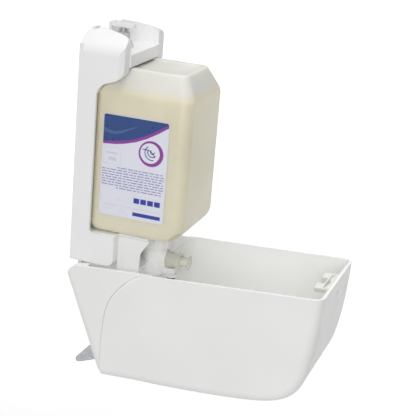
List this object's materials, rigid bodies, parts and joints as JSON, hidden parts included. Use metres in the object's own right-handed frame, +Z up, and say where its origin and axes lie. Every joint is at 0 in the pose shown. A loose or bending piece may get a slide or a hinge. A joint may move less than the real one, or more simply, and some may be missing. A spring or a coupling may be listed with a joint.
{
  "type": "wall mounted soap dispenser",
  "caption": "Wall mounted soap dispenser with hinged cover shown open, push lever, lock and sealed liquid refill with pump.",
  "frame": {"origin": "centre of the four wall screw holes, on the wall face of the back plate", "axes": "+X to the right as seen from the room, +Y into the wall, +Z up"},
  "size_m": [0.1236, 0.2421, 0.3256],
  "materials": {
    "cover_white": "smooth satin gloss",
    "white_plastic": "satin moulded",
    "grey_plastic": "satin",
    "bottle_plastic": "translucent, slightly frosted",
    "soap": "clear pale yellow liquid",
    "label": "printed film",
    "clear_plastic": "clear with an olive tint",
    "tinted_plastic": "translucent blue grey",
    "dark_rubber": "soft matt",
    "steel": "plain"
  },
  "bodies": {
    "wall_unit": {"back_plate": "white_plastic", "refill_cradle": "white_plastic", "cradle_screws": "steel", "hinge_pins": "steel", "lock_barrel": "grey_plastic", "refill_bottle": "bottle_plastic", "liquid_soap": "soap", "bottle_label": "label", "neck_collar": "white_plastic", "pump_housing": "white_plastic", "inlet_ball": "steel", "pump_barrel": "clear_plastic", "spout": "white_plastic", "spout_valve": "dark_rubber", "pump_spring": "steel"},
    "cover": {"cover_shell": "cover_white", "cover_skirt": "cover_white", "skirt_screws": "steel", "catch_bracket": "white_plastic", "lever_pins": "steel", "lever_spring": "steel"},
    "lever": {"lever_frame": "white_plastic", "push_tab": "tinted_plastic", "lever_pad": "dark_rubber"},
    "plunger": {"pump_plunger": "clear_plastic", "plunger_seal": "dark_rubber"},
    "lock": {"lock_spindle": "steel", "lock_bar": "white_plastic"}
  },
  "joints": [
    {"name": "cover_hinge", "type": "hinge", "parent": "wall_unit", "child": "cover", "pos_m": [0, -0.0115, -0.1145], "axis": [1, 0, 0], "range_deg": [-86.5, 0]},
    {"name": "push_lever", "type": "hinge", "parent": "cover", "child": "lever", "pos_m": [0, -0.04535, -0.20109], "axis": [1, 0, 0], "range_deg": [0, 16], "stiffness_Nm_per_rad": 0.25, "springref_deg": -14.32, "deforming": ["lever_spring"]},
    {"name": "plunger_stroke", "type": "slide", "parent": "wall_unit", "child": "plunger", "axis": [0, 1, 0], "range_m": [0, 0.0076], "deforming": ["pump_spring"]},
    {"name": "lock_turn", "type": "hinge", "parent": "wall_unit", "child": "lock", "pos_m": [0, -0.02, 0.1], "axis": [0, 0, 1], "range_deg": [0, 90]}
  ],
  "couplings": [
    {"joint": "plunger_stroke", "follows": "push_lever", "m_per_rad": 0.026}
  ]
}
